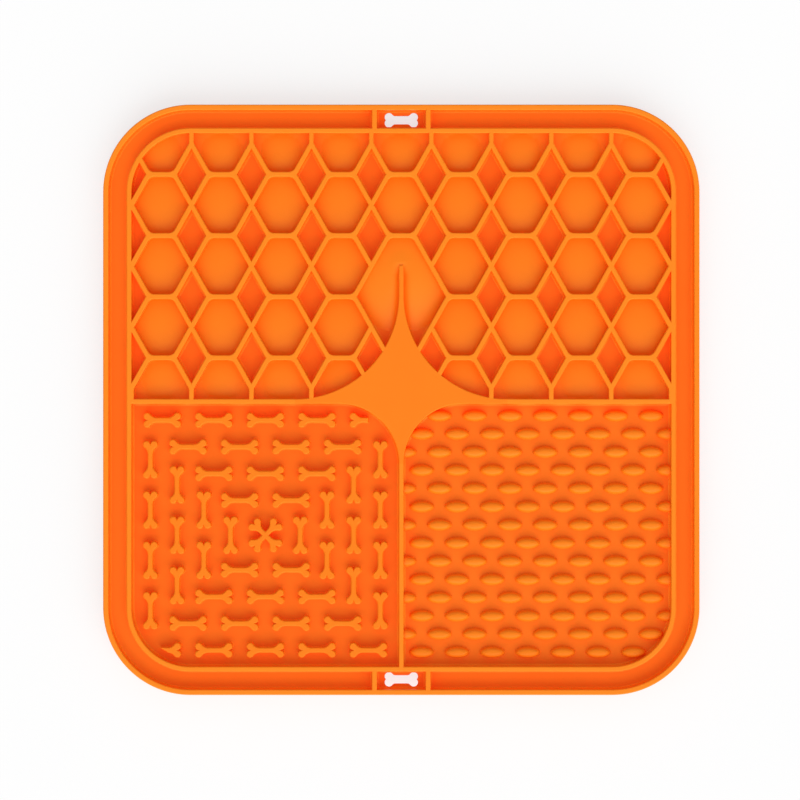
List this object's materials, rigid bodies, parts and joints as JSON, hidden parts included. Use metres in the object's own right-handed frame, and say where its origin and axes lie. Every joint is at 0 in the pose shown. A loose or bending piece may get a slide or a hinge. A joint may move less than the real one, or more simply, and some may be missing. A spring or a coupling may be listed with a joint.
{
  "type": "lick mat",
  "caption": "Square silicone lick mat with a rimmed moat, a honeycomb field, a bone field and an oval field round a star, two hanging eyes and suction cups on the back.",
  "frame": {"origin": "middle of the plane that the lips of the suction cups stand on", "axes": "+X to the right across the mat as pictured, +Y to its upper edge, where the honeycomb is, +Z out of the licking face"},
  "size_m": [0.2, 0.198, 0.01],
  "materials": {
    "silicone": "soft matt moulded silicone, orange"
  },
  "bodies": {
    "root": {"comb_floor": "silicone", "bone_floor": "silicone", "oval_floor": "silicone", "channel_floor_left": "silicone", "channel_floor_right": "silicone", "hanging_eye_top": "silicone", "hanging_eye_bottom": "silicone", "outer_rim": "silicone", "inner_frame": "silicone", "rib_pair_top": "silicone", "rib_pair_bottom": "silicone", "divider_left": "silicone", "divider_right": "silicone", "divider_lower": "silicone", "centre_star": "silicone", "star_cell_dome": "silicone", "bone_cross": "silicone", "comb_walls_1": "silicone", "comb_walls_2": "silicone", "comb_walls_3": "silicone", "comb_walls_4": "silicone", "comb_walls_5": "silicone", "comb_walls_6": "silicone", "comb_walls_7": "silicone", "comb_walls_8": "silicone", "comb_walls_9": "silicone", "comb_bars_1": "silicone", "comb_bars_2": "silicone", "comb_bars_3": "silicone", "comb_bars_4": "silicone", "cell_pads_1": "silicone", "cell_pads_2": "silicone", "cell_pads_3": "silicone", "cell_pads_4": "silicone", "cell_pads_5": "silicone", "bone_ring_1": "silicone", "bone_ring_2": "silicone", "bone_ring_3": "silicone", "bone_ring_4": "silicone", "oval_row_1": "silicone", "oval_row_2": "silicone", "oval_row_3": "silicone", "oval_row_4": "silicone", "oval_row_5": "silicone", "oval_row_6": "silicone", "oval_row_7": "silicone", "oval_row_8": "silicone", "oval_row_9": "silicone", "oval_row_10": "silicone", "oval_row_11": "silicone", "oval_row_12": "silicone", "oval_row_13": "silicone", "oval_row_14": "silicone", "suction_cups_1": "silicone", "suction_cups_2": "silicone", "suction_cups_3": "silicone", "suction_cups_4": "silicone", "suction_cups_5": "silicone"}
  },
  "joints": []
}
